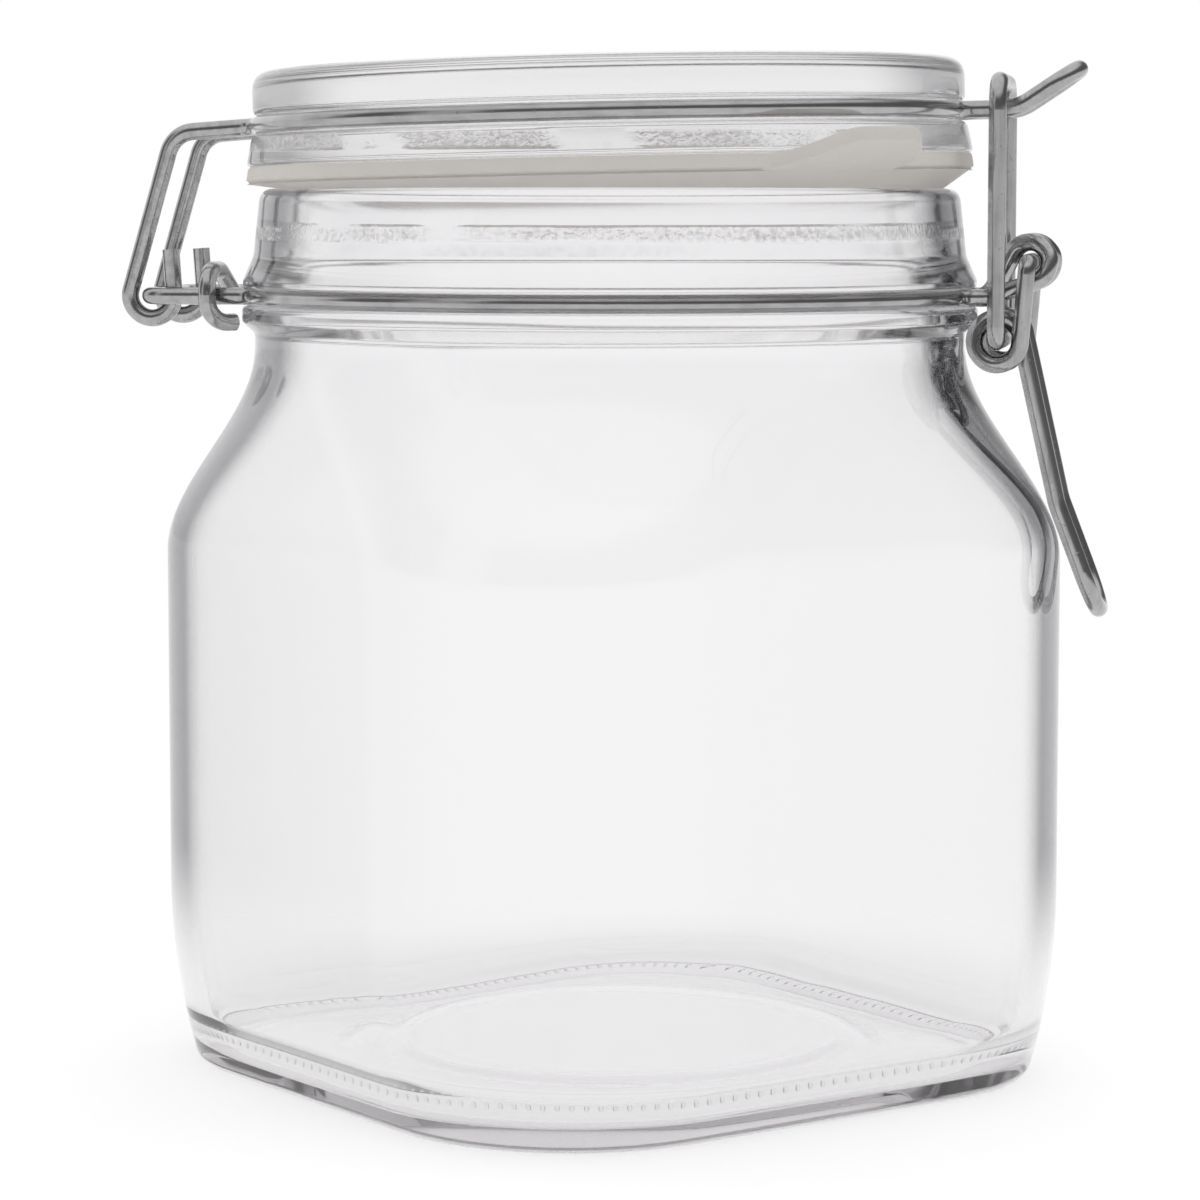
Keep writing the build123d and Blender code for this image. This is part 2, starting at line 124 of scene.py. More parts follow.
# Colours
WHITE = (1, 1, 1, 1)
GLASS_CLEAR = (0.985, 0.981, 0.986, 1)
# Grey painted on the glass's outer walls at glancing angles, as painted shade
GLASS_PAINTED_SLANT_SHADE = (0.935, 0.931, 0.937, 1)
# Grey painted into the grains of the chill marks, as painted shade
GLASS_GRAIN_PAINTED_SHADE = (0.70, 0.70, 0.71, 1)
GLASS_BODY = (0.32, 0.29, 0.32, 1)
GLASS_PASSED = (0.985, 0.985, 0.985, 1)
ZINC_LIGHT = (0.45, 0.45, 0.455, 1)
ZINC_DARK = (0.25, 0.25, 0.255, 1)
RUBBER_LIGHT = (0.61, 0.585, 0.553, 1)
RUBBER_DARK = (0.51, 0.486, 0.454, 1)
TABLE_PAINT = (0.93, 0.93, 0.93, 1)
ROOM_LOW = (0.85, 0.85, 0.85, 1)
ROOM_HIGH_THROUGH = (0.88, 0.88, 0.885, 1)

# Directions in the room, in degrees, for the reflections
FRONT_TURN = 9.2
BACKDROP_TURN = 30
BACKDROP_SPREAD = (38, 60)
CARD_TURN = 125
CARD_SPREAD = (6, 18)
ROOM_GREY = 0.17
CARD_GREY = 0.5

lid_place = Matrix.Translation((0, 0, LID_SEAT)) @ Matrix.Rotation(-LID_TILT, 4, "Y")


# Shapes


def ease(t):
    """From 0 to 1 with a level start and end."""
    t = np.clip(t, 0, 1)
    return t * t * (3 - 2 * t)


def rounded(corners, radii, steps=7):
    """Points of a line in (radius, height) whose inner corners are rounded."""
    corners = [np.array(c, float) for c in corners]
    line = [corners[0]]
    for before, corner, after, radius in zip(corners, corners[1:], corners[2:], radii):
        back, on = before - corner, after - corner
        back_len, on_len = np.linalg.norm(back), np.linalg.norm(on)
        angle = math.acos(np.clip(back @ on / (back_len * on_len), -1, 1))
        reach = min(radius / math.tan(angle / 2), back_len * 0.49, on_len * 0.49)
        start, end = corner + back / back_len * reach, corner + on / on_len * reach
        for s in np.linspace(0, 1, steps):
            line.append((1 - s) ** 2 * start + 2 * s * (1 - s) * corner + s * s * end)
    line.append(corners[-1])
    return line


def turn_angles():
    """The angles of the points round a turned piece."""
    return np.arange(TURNS) * 2 * math.pi / TURNS


def cross_section(half, corner):
    """Radii round a rounded square whose corners lie on the X and Y axes."""
    off = np.abs(turn_angles() % (math.pi / 2) - math.pi / 4)
    flat = half / np.cos(off)
    reach = (half - corner) * math.sqrt(2)
    side = math.pi / 4 - off
    bend = reach * np.cos(side) + np.sqrt(np.maximum(corner**2 - (reach * np.sin(side)) ** 2, 0))
    radii = np.where(half * np.tan(off) <= half - corner, flat, bend)
    for _ in range(2):
        radii = sum(w * np.roll(radii, k) for k, w in zip(range(-2, 3), SOFTEN))
    return radii


def foot_inset(z):
    """How far the body is drawn in towards its foot."""
    return FOOT_INSET * max(0, 1 - z / FOOT_HEIGHT) ** 2


def shoulder_share(z):
    """How far the body has turned into the round neck, from 0 to 1."""
    return ease((z - SHOULDER_START) / (SHOULDER_END - SHOULDER_START))


def outer_section(z):
    """Half width and corner radius of the body's outside."""
    inset = foot_inset(z)
    if z < HEEL_ROUND:
        inset += HEEL_ROUND - math.sqrt(HEEL_ROUND**2 - (HEEL_ROUND - z) ** 2)
    half, corner = BODY_HALF - inset, BODY_CORNER - inset
    share = shoulder_share(z)
    return half + share * (NECK_R - half), corner + share * (NECK_R - corner)


def inner_section(z):
    """Half width and corner radius of the body's inside."""
    inset = WALL + foot_inset(z)
    half, corner = BODY_HALF - inset, BODY_CORNER - inset
    up = z - FLOOR
    if up < FLOOR_ROUND:
        half -= FLOOR_ROUND - math.sqrt(FLOOR_ROUND**2 - (FLOOR_ROUND - up) ** 2)
    share = shoulder_share(z)
    return half + share * (BORE_R - half), corner + share * (BORE_R - corner)


def add_object(name, mesh):
    """A mesh placed in the scene."""
    obj = bpy.data.objects.new(name, mesh)
    bpy.context.scene.collection.objects.link(obj)
    return obj


def ring_mesh(name, rings, first_pole, last_pole):
    """Closed skin over rings of points, from one pole to the other."""
    count = len(rings[0])
    points = [first_pole, *[p for ring in rings for p in ring], last_pole]
    faces = []
    for j in range(count):
        k = (j + 1) % count
        faces.append((0, 1 + k, 1 + j))
        for i in range(len(rings) - 1):
            a, b = 1 + i * count, 1 + (i + 1) * count
            faces.append((a + j, a + k, b + k, b + j))
        last = 1 + (len(rings) - 1) * count
        faces.append((last + j, last + k, len(points) - 1))
    mesh = bpy.data.meshes.new(name)
    mesh.from_pydata([tuple(p) for p in points], [], faces)
    mesh.validate()
    mesh.shade_smooth()
    return add_object(name, mesh)


def turned_ring(radius, z):
    """A level ring of points; radius is one number or one for each point."""
    angle = turn_angles()
    radius = np.broadcast_to(radius, TURNS)
    return np.stack([radius * np.cos(angle), radius * np.sin(angle), np.full(TURNS, z)], axis=1)


def ripple(z, size):
    """Slow unevenness of a pressed glass wall, round the body."""
    angle = turn_angles()
    waves = np.sin(3 * angle + 40 * z) * np.sin(95 * z + 1.3)
    waves += 0.6 * np.sin(7 * angle - 75 * z + 0.8) * np.sin(140 * z + 2 * np.sin(angle))
    return size * waves


def make_jar():
    """Bowl of pressed glass: push-up, heel, body, shoulder, neck, mouth and floor."""
    rings = []
    for share in (0.1, 0.4, 0.7, *np.linspace(1 - PUSH_UP_EDGE, 1, 9)):
        z = TICK_RISE + (PUSH_UP - TICK_RISE) * ease((1 - share) / PUSH_UP_EDGE)
        rings.append(turned_ring(PUSH_UP_R * share, z))
    heel_radii = cross_section(*outer_section(0))
    for share in (0.35, 0.7):
        rings.append(turned_ring((1 - share) * PUSH_UP_R + share * heel_radii, TICK_RISE))
    heights = list(HEEL_ROUND * (1 - np.cos(np.linspace(0, math.pi / 2, 7))))
    heights += list(np.linspace(HEEL_ROUND, FOOT_HEIGHT, 12))[1:]
    heights += list(np.linspace(FOOT_HEIGHT, SHOULDER_START, 8))[1:]
    heights += list(np.linspace(SHOULDER_START, SHOULDER_END, 30))[1:-1]
    for z in heights:
        radii = cross_section(*outer_section(z)) + ripple(z, OUTER_RIPPLE)
        rings.append(turned_ring(radii, max(z, TICK_RISE)))
    neck = rounded(
        [
            (NECK_R - NECK_STEP, SHOULDER_END),
            (NECK_R - NECK_STEP, LOW_BEAD_FOOT),
            (NECK_R + LOW_BEAD_OUT, LOW_BEAD_FULL),
            (NECK_R + LOW_BEAD_OUT, GROOVE_LOW),
            (GROOVE_R, GROOVE_LOW),
            (GROOVE_R, GROOVE_HIGH),
            (NECK_R + HIGH_BEAD_OUT, GROOVE_HIGH),
            (NECK_R + HIGH_BEAD_OUT, HIGH_BEAD_FULL),
            (NECK_R, HIGH_BEAD_END),
            (RIM_R, JAR_HEIGHT),
            (MOUTH_R, JAR_HEIGHT),
            (MOUTH_R, MOUTH_LOW),
            (BORE_R, BORE_TOP),
            (BORE_R, SHOULDER_END),
        ],
        [0.0012, 0.0009, 0.0009, 0.0008, 0.0008, 0.0005, 0.0005, 0.0034, 0.0020, 0.0010, 0.0050, 0.0060],
    )
    for r, z in neck:
        rings.append(turned_ring(r, z))
    inside = list(np.linspace(SHOULDER_END, SHOULDER_START, 30))[1:-1]
    inside += list(np.linspace(SHOULDER_START, FLOOR + FLOOR_ROUND, 24))
    inside += list(FLOOR + FLOOR_ROUND * (1 - np.sin(np.linspace(0, math.pi / 2, 10))))[1:]
    for z in inside:
        radii = cross_section(*inner_section(z)) + ripple(z, INNER_RIPPLE)
        rings.append(turned_ring(radii, z))
    floor_radii = cross_section(*inner_section(FLOOR))
    for share in (0.3, 0.6):
        rings.append(turned_ring((1 - share) * floor_radii + share * PUSH_UP_R, FLOOR))
    for share in (*np.linspace(1, 1 - PUSH_UP_EDGE, 9), 0.7, 0.4, 0.1):
        z = FLOOR + PUSH_UP * ease((1 - share) / PUSH_UP_EDGE)
        rings.append(turned_ring(PUSH_UP_R * share, z))
    return ring_mesh("jar_glass", rings, (0, 0, PUSH_UP), (0, 0, FLOOR + PUSH_UP))


def make_lid():
    """Turned lid of pressed glass, on its own tilted axis."""
    outline = rounded(
        [
            (POLE_R, HOLLOW_TOP),
            (HOLLOW_R, HOLLOW_TOP),
            (HOLLOW_R, BOSS_LOW),
            (BOSS_R, BOSS_LOW),
            (BOSS_R, 0),
            (RIM_R + FLANGE_OUT, 0),
            (RIM_R + FLANGE_TOP_OUT, LID_GROOVE_LOW),
            (LID_GROOVE_R, LID_GROOVE_LOW),
            (LID_GROOVE_R, LID_GROOVE_HIGH),
            (RIM_R + LID_EDGE_OUT, LID_GROOVE_HIGH),
            (RIM_R + LID_EDGE_OUT, LID_TOP),
            (DISH_R, LID_TOP),
            (DISH_FLOOR_R, DISH_FLOOR),
            (POLE_R, DISH_FLOOR),
        ],
        [0.0012, 0.0012, 0.0012, 0.0006, 0.0007, 0.0012, 0.0008, 0.0008, 0.0010, 0.0028, 0.0028, 0.0014],
    )
    rings = [turned_ring(r, z) for r, z in outline]
    obj = ring_mesh("lid_glass", rings, (0, 0, HOLLOW_TOP), (0, 0, DISH_FLOOR))
    obj.data.transform(lid_place)
    return obj


def tab_reach(angle):
    """How far the pull tab stands out of the gasket at an angle."""
    across = math.degrees(angle - TAB_AT)
    slope = ease((across - TAB_SLOPE_FROM) / TAB_SLOPE)
    ending = math.sqrt(max(0, 1 - max(0, (across - TAB_END_FROM) / TAB_END) ** 2))
    return TAB_LONG * slope * ending


def gasket_top(r, angle):
    """Height of the gasket's upper side under the tilted lid, with the curl of the tab."""
    curl = TAB_CURL * (max(0, r - TAB_CURL_FROM) / TAB_LONG) ** TAB_CURL_POWER
    return LID_SEAT - FLANGE_GAP + math.tan(LID_TILT) * r * math.cos(angle) + curl


def gasket_section(angle):
    """Outline of the gasket in (radius, height) at an angle, from its bore along the underside."""
    out = tab_reach(angle)
    far = GASKET_R + out
    rim = JAR_HEIGHT + RIM_GAP
    edge = max(rim, gasket_top(GASKET_R, angle) - GASKET_THICK)
    bore = gasket_top(GASKET_INNER, angle)
    end = gasket_top(far, angle)
    shares = np.linspace(0, 1, TAB_POINTS)
    reaches = [GASKET_R + out * s for s in shares]
    under = []
    for r, s in zip(reaches, shares):
        z = gasket_top(r, angle) - GASKET_THICK * (1 - TAB_THINNING * s)
        under.append((r + GASKET_ROUND * (1 - s), z))
    under[0] = (GASKET_R + GASKET_LIP, max(edge, under[0][1]))
    return [
        (GASKET_INNER, rim),
        (RIM_REST_R, rim),
        (GASKET_R - GASKET_ROUND, edge),
        *under,
        (far + GASKET_ROUND_WIDE, end - GASKET_THICK * 0.75),
        (far + GASKET_ROUND, end - GASKET_ROUND_WIDE),
        *[(r, gasket_top(r, angle)) for r in reversed(reaches)],
        (GASKET_INNER + GASKET_ROUND_WIDE, bore),
        (GASKET_INNER, bore - GASKET_ROUND_WIDE),
    ]


def make_gasket():
    """Rubber ring that follows the lid, rests on the rim, and carries a pull tab that curls up."""
    angles = list(np.radians(np.arange(-180, 180, 1.25)))
    angles += [TAB_AT + math.radians(a) for a in np.arange(-18, 14, 0.2)]
    sections = []
    for angle in np.unique(np.round(angles, 5)):
        line = gasket_section(angle)
        sections.append([(r * math.cos(angle), r * math.sin(angle), z) for r, z in line])
    count = len(sections[0])
    points = [p for section in sections for p in section]
    faces = []
    for i in range(len(sections)):
        a, b = i * count, (i + 1) % len(sections) * count
        for j in range(count):
            k = (j + 1) % count
            faces.append((a + j, b + j, b + k, a + k))
    mesh = bpy.data.meshes.new("gasket_ring")
    mesh.from_pydata(points, [], faces)
    skin = bmesh.new()
    skin.from_mesh(mesh)
    bmesh.ops.remove_doubles(skin, verts=skin.verts, dist=2e-6)
    bmesh.ops.dissolve_degenerate(skin, edges=skin.edges, dist=1e-6)
    bmesh.ops.recalc_face_normals(skin, faces=skin.faces)
    skin.to_mesh(mesh)
    skin.free()
    mesh.shade_smooth()
    mesh.set_sharp_from_angle(angle=math.radians(50))
    return add_object("gasket_ring", mesh)


# Shared finishes


def new_group(name, inputs, outputs):
    """An empty shader group with its named sockets."""
    group = bpy.data.node_groups.new(name, "ShaderNodeTree")
    for label, kind, value in inputs:
        socket = group.interface.new_socket(label, in_out="INPUT", socket_type=kind)
        if value is not None:
            socket.default_value = value
    for label, kind in outputs:
        group.interface.new_socket(label, in_out="OUTPUT", socket_type=kind)
    start, end = group.nodes.new("NodeGroupInput"), group.nodes.new("NodeGroupOutput")
    return group, start, end


def fill(tree, socket, value):
    """Give a socket a value, or link it to another socket."""
    if isinstance(value, bpy.types.NodeSocket):
        tree.links.new(value, socket)
    else:
        socket.default_value = value


def node(tree, kind, values=None, **settings):
    """A node with its settings, and its inputs given as values or linked sockets."""
    made = tree.nodes.new(kind)
    for label, value in settings.items():
        setattr(made, label, value)
    for label, value in (values or {}).items():
        fill(tree, made.inputs[label], value)
    return made


def maths(tree, operation, first, second=0.0, third=None, clamp=False):
    """One sum on values or sockets."""
    values = {0: first, 1: second}
    if third is not None:
        values[2] = third
    return node(tree, "ShaderNodeMath", values, operation=operation, use_clamp=clamp).outputs[0]


def scaled(tree, value, factor):
    """A value or socket times a factor."""
    return maths(tree, "MULTIPLY", value, factor)


def fade(tree, value, low, high, to_low=0.0, to_high=1.0):
    """Smooth step from one value to another."""
    made = node(
        tree,
        "ShaderNodeMapRange",
        {"Value": value, "From Min": low, "From Max": high, "To Min": to_low, "To Max": to_high},
        interpolation_type="SMOOTHSTEP",
    )
    return made.outputs["Result"]


def tint(tree, share, first, second):
    """Mix of two colours, through the colour sockets of a mix node."""
    made = tree.nodes.new("ShaderNodeMix")
    made.data_type = "RGBA"
    for place, value in ((0, share), (6, first), (7, second)):
        fill(tree, made.inputs[place], value)
    return made.outputs[2]


def noise(tree, place, scale, detail=3.0, rough=0.5):
    """Noise value at a place."""
    values = {"Vector": place, "Scale": scale, "Detail": detail, "Roughness": rough}
    return node(tree, "ShaderNodeTexNoise", values).outputs["Fac"]


def bumps(tree, height, strength, distance):
    """Normal bent by a height."""
    values = {"Height": height, "Strength": strength, "Distance": distance}
    return node(tree, "ShaderNodeBump", values).outputs[0]


def make_drawn_wire():
    """Zinc-coated drawn wire: streaks along it, pits, dull patches."""
    group, start, end = new_group(
        "drawn_wire",
        [
            ("Place", "NodeSocketVector", None),
            ("Along", "NodeSocketVector", None),
            ("Light", "NodeSocketColor", ZINC_LIGHT),
            ("Dark", "NodeSocketColor", ZINC_DARK),
            ("Gloss", "NodeSocketFloat", 0.15),
        ],
        [("Color", "NodeSocketColor"), ("Roughness", "NodeSocketFloat"), ("Height", "NodeSocketFloat")],
    )
    place, along = start.outputs["Place"], start.outputs["Along"]
    streak = noise(group, along, scale=1.0, detail=5.0, rough=0.65)
    dull = fade(group, noise(group, place, scale=240.0, detail=3.0), 0.4, 0.7)
    pit = fade(group, noise(group, place, scale=1500.0, detail=2.0), 0.66, 0.74)
    share = scaled(group, fade(group, streak, 0.34, 0.70), 0.40)
    share = maths(group, "ADD", share, scaled(group, dull, 0.20), clamp=True)
    share = maths(group, "ADD", share, scaled(group, pit, 0.18), clamp=True)
    colour = tint(group, share, start.outputs["Light"], start.outputs["Dark"])
    rough = maths(group, "ADD", start.outputs["Gloss"], scaled(group, share, 0.16))
    height = maths(group, "SUBTRACT", scaled(group, streak, 0.6), scaled(group, pit, 0.8))
    group.links.new(colour, end.inputs["Color"])
    group.links.new(rough, end.inputs["Roughness"])
    group.links.new(height, end.inputs["Height"])
    return group


def make_pressed_glass():
    """Unevenness of pressed glass: slow waves, fine chill marks in a band, faint haze, and a mask for
    grains of painted shade in the chill marks.
    """
    group, start, end = new_group(
        "pressed_glass",
        [
            ("Place", "NodeSocketVector", None),
            ("Chill low", "NodeSocketFloat", 0.0),
            ("Chill high", "NodeSocketFloat", 0.0),
            ("Haze from", "NodeSocketFloat", 0.0),
            ("Haze", "NodeSocketFloat", 0.07),
        ],
        [("Roughness", "NodeSocketFloat"), ("Height", "NodeSocketFloat"), ("Grain_painted_shade", "NodeSocketFloat")],
    )
    place, low, high = (start.outputs[k] for k in ("Place", "Chill low", "Chill high"))
    z = node(group, "ShaderNodeSeparateXYZ", {"Vector": place}).outputs["Z"]
    drawn_out = node(group, "ShaderNodeMapping", {"Vector": place, "Scale": (1, 1, 3)}).outputs[0]
    wave = noise(group, drawn_out, scale=28.0, detail=2.0)
    middle = scaled(group, maths(group, "ADD", low, high), 0.5)
    spread = scaled(group, maths(group, "SUBTRACT", high, low), 0.5)
    off = maths(group, "ABSOLUTE", maths(group, "SUBTRACT", z, middle))
    band = fade(group, maths(group, "DIVIDE", off, spread), 1.0, 0.55)
    patch = fade(group, noise(group, place, scale=45.0, detail=2.0), 0.40, 0.54)
    chill = scaled(group, band, patch)
    grit = noise(group, place, scale=1400.0, detail=2.0, rough=0.6)
    gritty = scaled(group, scaled(group, grit, chill), 1.5)
    height = maths(group, "ADD", scaled(group, wave, 0.25), gritty)
    above = fade(group, maths(group, "SUBTRACT", z, start.outputs["Haze from"]), 0.0, 0.008)
    haze = scaled(group, above, start.outputs["Haze"])
    rough = maths(group, "ADD", scaled(group, chill, 0.10), haze)
    # Painted shade: a mask for grains of the chill band that are darkened in the glass colour
    grain = scaled(group, chill, fade(group, grit, 0.46, 0.60))
    group.links.new(rough, end.inputs["Roughness"])
    group.links.new(height, end.inputs["Height"])
    group.links.new(grain, end.inputs["Grain_painted_shade"])
    return group


def new_material(name):
    """A node material with its output, and the object's coordinates."""
    material = bpy.data.materials.new(name)
    material.use_nodes = True
    tree = material.node_tree
    tree.nodes.clear()
    output = tree.nodes.new("ShaderNodeOutputMaterial")
    places = tree.nodes.new("ShaderNodeTexCoord")
    return material, tree, output, places.outputs["Object"], places.outputs["Normal"]


def glass_finish(name, group, chill, haze_from, bump, density, painted_edge_shade_range, painted_edge_shade_grey):
    """Clear glass that lets lamps through, with painted shade: greyer at glancing angles on its outer
    walls, and darker grains in its chill marks.
    """
    material, tree, output, place, facing = new_material(name)
    surface = node(tree, "ShaderNodeGroup", node_tree=group)
    tree.links.new(place, surface.inputs["Place"])
    surface.inputs["Chill low"].default_value = chill[0]
    surface.inputs["Chill high"].default_value = chill[1]
    surface.inputs["Haze from"].default_value = haze_from
    glancing = node(tree, "ShaderNodeLayerWeight", {"Blend": 0.5}).outputs["Facing"]
    behind = tree.nodes.new("ShaderNodeNewGeometry").outputs["Backfacing"]
    entering = maths(tree, "SUBTRACT", 1.0, behind)
    level = node(tree, "ShaderNodeVectorMath", {0: place, 1: (1, 1, 0)}, operation="MULTIPLY")
    outward = node(tree, "ShaderNodeVectorMath", {0: level.outputs[0]}, operation="NORMALIZE")
    sides = {0: outward.outputs[0], 1: facing}
    outer = node(tree, "ShaderNodeVectorMath", sides, operation="DOT_PRODUCT").outputs["Value"]
    # Painted shade: the outer walls above the heel turn grey at glancing angles, darkest at the edges
    painted_shade_walls = scaled(tree, fade(tree, outer, 0.30, 0.70), entering)
    height = node(tree, "ShaderNodeSeparateXYZ", {"Vector": place}).outputs["Z"]
    painted_shade_walls = scaled(tree, painted_shade_walls, fade(tree, height, 0.010, 0.034))
    painted_slant_shade = scaled(tree, fade(tree, glancing, 0.08, 0.45), painted_shade_walls)
    edge = scaled(tree, fade(tree, glancing, *painted_edge_shade_range), painted_shade_walls)
    colour = tint(tree, painted_slant_shade, GLASS_CLEAR, GLASS_PAINTED_SLANT_SHADE)
    colour = tint(tree, edge, colour, (painted_edge_shade_grey, painted_edge_shade_grey, painted_edge_shade_grey + 0.01, 1))
    # Painted shade: the chill-mark grains tint the glass grey
    colour = tint(tree, surface.outputs["Grain_painted_shade"], colour, GLASS_GRAIN_PAINTED_SHADE)
    shader = node(
        tree,
        "ShaderNodeBsdfPrincipled",
        {
            "Base Color": colour,
            "Roughness": surface.outputs["Roughness"],
            "IOR": 1.5,
            "Normal": bumps(tree, surface.outputs["Height"], bump, 0.001),
        },
    )
    shader.inputs["Transmission Weight"].default_value = 1.0
    clear = node(tree, "ShaderNodeBsdfTransparent", {"Color": GLASS_PASSED})
    path = tree.nodes.new("ShaderNodeLightPath")
    through = maths(tree, "MAXIMUM", path.outputs["Is Shadow Ray"], path.outputs["Is Diffuse Ray"])
    deep = maths(tree, "GREATER_THAN", path.outputs["Glossy Depth"], 2.5)
    deep = maths(tree, "MAXIMUM", deep, maths(tree, "GREATER_THAN", path.outputs["Ray Depth"], 9.5))
    through = maths(tree, "MAXIMUM", through, deep)
    mixed = node(tree, "ShaderNodeMixShader", {0: through, 1: shader.outputs[0], 2: clear.outputs[0]})
    tree.links.new(mixed.outputs[0], output.inputs["Surface"])
    body = node(tree, "ShaderNodeVolumeAbsorption", {"Color": GLASS_BODY, "Density": density})
    tree.links.new(body.outputs[0], output.inputs["Volume"])
    return material


def wire_finish(name, group, along, ring):
    """Drawn wire whose streaks run along the wire, round the neck or straight."""
    material, tree, output, place, _ = new_material(name)
    if ring:
        apart = node(tree, "ShaderNodeSeparateXYZ", {"Vector": place})
        x, y, z = (apart.outputs[k] for k in "XYZ")
        turned = maths(tree, "ARCTAN2", y, x)
        radius = maths(tree, "SQRT", maths(tree, "ADD", scaled(tree, x, x), scaled(tree, y, y)))
        parts = zip("XYZ", (turned, radius, z), along)
        values = {k: scaled(tree, value, scale) for k, value, scale in parts}
        run = node(tree, "ShaderNodeCombineXYZ", values).outputs[0]
    else:
        run = node(tree, "ShaderNodeMapping", {"Vector": place, "Scale": along}).outputs[0]
    finish = node(tree, "ShaderNodeGroup", node_tree=group)
    tree.links.new(place, finish.inputs["Place"])
    tree.links.new(run, finish.inputs["Along"])
    shader = node(
        tree,
        "ShaderNodeBsdfPrincipled",
        {
            "Base Color": finish.outputs["Color"],
            "Roughness": finish.outputs["Roughness"],
            "Metallic": 1.0,
            "Normal": bumps(tree, finish.outputs["Height"], 0.12, 0.0002),
        },
    )
    tree.links.new(shader.outputs[0], output.inputs["Surface"])
    return material


def rubber_finish(name):
    """Off-white rubber, slightly mottled, with a matt bloom."""
    material, tree, output, place, _ = new_material(name)
    mottle = noise(tree, place, scale=180.0, detail=4.0)
    speck = fade(tree, noise(tree, place, scale=2200.0, detail=1.0), 0.70, 0.78)
    share = maths(tree, "ADD", scaled(tree, mottle, 0.5), scaled(tree, speck, 0.25), clamp=True)
    colour = tint(tree, share, RUBBER_LIGHT, RUBBER_DARK)
    grain = noise(tree, place, scale=1600.0, detail=3.0)
    rough = maths(tree, "ADD", 0.48, scaled(tree, mottle, 0.2))
    shader = node(
        tree,
        "ShaderNodeBsdfPrincipled",
        {"Base Color": colour, "Roughness": rough, "Normal": bumps(tree, grain, 0.15, 0.0002)},
    )
    tree.links.new(shader.outputs[0], output.inputs["Surface"])
    return material


def make_heel_ticks(material):
    """Short ridges round the bearing ring of the base."""
    tree = bpy.data.node_groups.new("heel_ticks", "GeometryNodeTree")
    tree.interface.new_socket("Geometry", in_out="INPUT", socket_type="NodeSocketGeometry")
    for label, value in (("Pitch", 0.0021), ("Long", 0.0030), ("Wide", 0.00080), ("High", 0.00044)):
        socket = tree.interface.new_socket(label, in_out="INPUT", socket_type="NodeSocketFloat")
        socket.default_value = value
    finish = tree.interface.new_socket("Finish", in_out="INPUT", socket_type="NodeSocketMaterial")
    tree.interface.new_socket("Geometry", in_out="OUTPUT", socket_type="NodeSocketGeometry")
    start, end = tree.nodes.new("NodeGroupInput"), tree.nodes.new("NodeGroupOutput")
    curve = node(tree, "GeometryNodeMeshToCurve", {"Mesh": start.outputs["Geometry"]})
    spacing = {"Curve": curve.outputs[0], "Length": start.outputs["Pitch"]}
    points = node(tree, "GeometryNodeCurveToPoints", spacing, mode="LENGTH")
    grain = node(tree, "GeometryNodeMeshIcoSphere", {"Radius": 0.5, "Subdivisions": 2})
    sides = {k: start.outputs[label] for k, label in zip("XYZ", ("Wide", "Long", "High"))}
    size = node(tree, "ShaderNodeCombineXYZ", sides)
    turn = node(
        tree,
        "FunctionNodeAlignRotationToVector",
        {"Vector": points.outputs["Tangent"]},
        axis="X",
        pivot_axis="Z",
    )
    put = node(
        tree,
        "GeometryNodeInstanceOnPoints",
        {
            "Points": points.outputs["Points"],
            "Instance": grain.outputs["Mesh"],
            "Rotation": turn.outputs[0],
            "Scale": size.outputs[0],
        },
    )
    real = node(tree, "GeometryNodeRealizeInstances", {"Geometry": put.outputs[0]})
    dressing = {"Geometry": real.outputs[0], "Material": start.outputs["Finish"]}
    dressed = node(tree, "GeometryNodeSetMaterial", dressing)
    tree.links.new(dressed.outputs[0], end.inputs[0])

    radii = cross_section(*outer_section(HEEL_ROUND * 0.1)) - TICK_INSET
    loop = turned_ring(radii, TICK_RISE)
    mesh = bpy.data.meshes.new("heel_line")
    mesh.from_pydata([tuple(p) for p in loop], [(i, (i + 1) % TURNS) for i in range(TURNS)], [])
    line = add_object("heel_line", mesh)
    modifier = line.modifiers.new("ticks", "NODES")
    modifier.node_group = tree
    modifier[finish.identifier] = material
    depsgraph = bpy.context.evaluated_depsgraph_get()
    made = bpy.data.meshes.new_from_object(line.evaluated_get(depsgraph), depsgraph=depsgraph)
    made.shade_smooth()
    bpy.data.objects.remove(line)
    return add_object("heel_ticks", made)


# Dressing the frame

pressed_glass, drawn_wire = make_pressed_glass(), make_drawn_wire()
# Each glass gets painted shade at its glancing edges, set by the edge range and grey
jar_finish = glass_finish(
    "jar_clear_glass",
    pressed_glass,
    chill=(0.1158, 0.1180),
    haze_from=0.093,
    bump=0.12,
    density=13.0,
    painted_edge_shade_range=(0.44, 0.64),
    painted_edge_shade_grey=0.10,
)
lid_finish = glass_finish(
    "lid_clear_glass",
    pressed_glass,
    chill=(0.1278, 0.1306),
    haze_from=0.110,
    bump=0.06,
    density=2.2,
    painted_edge_shade_range=(0.28, 0.56),
    painted_edge_shade_grey=0.36,
)
gasket_finish = rubber_finish("gasket_off_white_rubber")

jar = make_jar()
jar.data.materials.append(jar_finish)
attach(jar, "jar")
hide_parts("jar")

ticks = make_heel_ticks(jar_finish)
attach(ticks, "jar")

lid = make_lid()
lid.data.materials.append(lid_finish)
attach(lid, "lid")
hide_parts("lid")

gasket = make_gasket()
gasket.data.materials.append(gasket_finish)
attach(gasket, "lid")
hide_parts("gasket")

wires = {
    "neck_wire": ((5, 900, 900), True),
    "lid_wire": ((5, 900, 900), True),
    "lever": ((900, 900, 40), False),
    "link_loop": ((900, 900, 40), False),
}
for name, (along, ring) in wires.items():
    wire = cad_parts[name]
    wire.data.materials.clear()
    wire.data.materials.append(wire_finish(f"{name}_zinc_steel", drawn_wire, along, ring))

# Studio


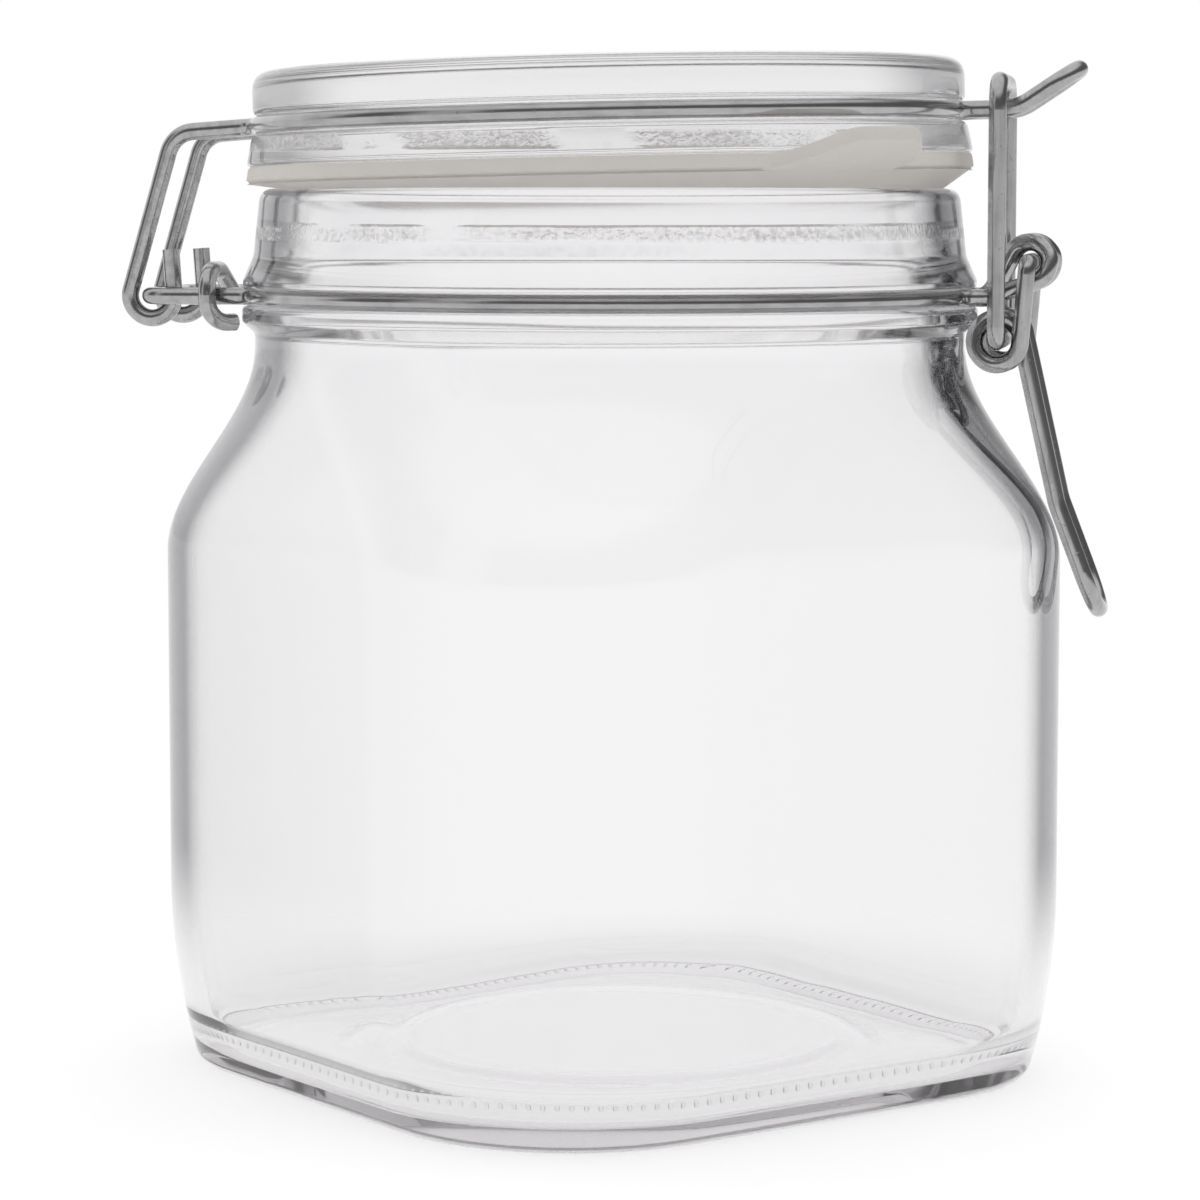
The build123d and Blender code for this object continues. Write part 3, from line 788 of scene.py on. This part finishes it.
def make_floor():
    """Pale table top, white far from the canister, with a little painted shade near it where it is seen
    through the glass.
    """
    mesh = bpy.data.meshes.new("table_top")
    mesh.from_pydata([(-6, -6, 0), (6, -6, 0), (6, 6, 0), (-6, 6, 0)], [], [(0, 1, 2, 3)])
    obj = add_object("table_top", mesh)
    material, tree, output, place, _ = new_material("table_white")
    away = node(tree, "ShaderNodeVectorMath", {0: place}, operation="LENGTH").outputs["Value"]
    far = fade(tree, away, 0.066, 0.135)
    path = tree.nodes.new("ShaderNodeLightPath")
    through = path.outputs["Is Transmission Ray"]
    seen = maths(tree, "MAXIMUM", path.outputs["Is Camera Ray"], through)
    seen = maths(tree, "MAXIMUM", seen, path.outputs["Is Glossy Ray"])
    paint = node(tree, "ShaderNodeBsdfDiffuse", {"Color": TABLE_PAINT})
    painted_shade_zone = maths(tree, "SUBTRACT", 1.0, far)
    # Painted shade: the glow is dimmed near the canister where it is seen through the glass
    strength = maths(tree, "SUBTRACT", 1.0, scaled(tree, painted_shade_zone, scaled(tree, through, 0.14)))
    glow = node(tree, "ShaderNodeEmission", {"Color": WHITE, "Strength": strength})
    lit = scaled(tree, seen, maths(tree, "MAXIMUM", far, scaled(tree, through, 0.85)))
    mixed = node(tree, "ShaderNodeMixShader", {0: lit, 1: paint.outputs[0], 2: glow.outputs[0]})
    tree.links.new(mixed.outputs[0], output.inputs["Surface"])
    mesh.materials.append(material)


def turned_from(tree, turn, degrees):
    """How far a direction lies from one that is turned by some degrees."""
    off = maths(tree, "ADD", turn, math.radians(degrees))
    return maths(tree, "ABSOLUTE", maths(tree, "WRAP", off, math.pi, -math.pi))


def make_world():
    """White surround for what the camera sees; a backdrop, a bright card and a dim room for reflections."""
    world = bpy.data.worlds.new("studio")
    bpy.context.scene.world = world
    world.use_nodes = True
    tree = world.node_tree
    tree.nodes.clear()
    output = tree.nodes.new("ShaderNodeOutputWorld")
    way = tree.nodes.new("ShaderNodeTexCoord").outputs["Generated"]
    apart = node(tree, "ShaderNodeSeparateXYZ", {"Vector": way})
    x, y, z = (apart.outputs[k] for k in "XYZ")
    path = tree.nodes.new("ShaderNodeLightPath")
    turn = maths(tree, "ADD", maths(tree, "ARCTAN2", x, y), math.radians(FRONT_TURN))
    backdrop_off = turned_from(tree, turn, BACKDROP_TURN)
    backdrop = fade(tree, backdrop_off, *map(math.radians, BACKDROP_SPREAD), 1.0, ROOM_GREY)
    card_off = turned_from(tree, turn, CARD_TURN)
    card = fade(tree, card_off, *map(math.radians, CARD_SPREAD), CARD_GREY, 0.0)
    sides = maths(tree, "ADD", backdrop, card)
    room = tint(tree, fade(tree, z, 0.02, 0.12), ROOM_LOW, sides)
    studio = tint(tree, fade(tree, z, 0.52, 0.80), room, WHITE)
    through = tint(tree, fade(tree, z, 0.35, 0.9), WHITE, ROOM_HIGH_THROUGH)
    colour = tint(tree, path.outputs["Is Transmission Ray"], studio, through)
    colour = tint(tree, path.outputs["Is Camera Ray"], colour, WHITE)
    back = node(tree, "ShaderNodeBackground", {"Color": colour, "Strength": 1.0})
    tree.links.new(back.outputs[0], output.inputs["Surface"])


def add_lamp(name, place, aim, size, watts):
    """A soft square lamp."""
    data = bpy.data.lights.new(name, "AREA")
    data.size = size
    data.energy = watts
    obj = add_object(name, data)
    obj.location = place
    obj.rotation_mode = "QUATERNION"
    obj.rotation_quaternion = (Vector(aim) - Vector(place)).to_track_quat("-Z", "Y")
    obj.visible_glossy = obj.visible_transmission = False


def make_camera():
    """The photograph's viewpoint."""
    data = bpy.data.cameras.new("camera")
    data.sensor_width = 36
    data.lens = 120.92
    data.clip_start, data.clip_end = 0.01, 50
    obj = add_object("camera", data)
    turn, far, high = math.radians(9.215), 0.5629, 0.1212
    pan, dip = 0.00243134, math.radians(5.642)
    obj.location = (far * math.sin(turn), -far * math.cos(turn), high)
    obj.rotation_euler = (math.pi / 2 - dip, 0, turn + pan)
    bpy.context.scene.camera = obj


make_floor()
make_world()
add_lamp("top_box", place=(0.1, 0.1, 1.1), aim=(0, 0, 0.06), size=1.0, watts=5.5)
add_lamp("left_box", place=(-0.9, -0.7, 0.5), aim=(0, 0, 0.08), size=0.6, watts=1.5)
add_lamp("right_box", place=(0.9, -0.5, 0.6), aim=(0, 0, 0.08), size=0.6, watts=1.5)
make_camera()
bpy.context.scene.view_settings.view_transform = "Standard"
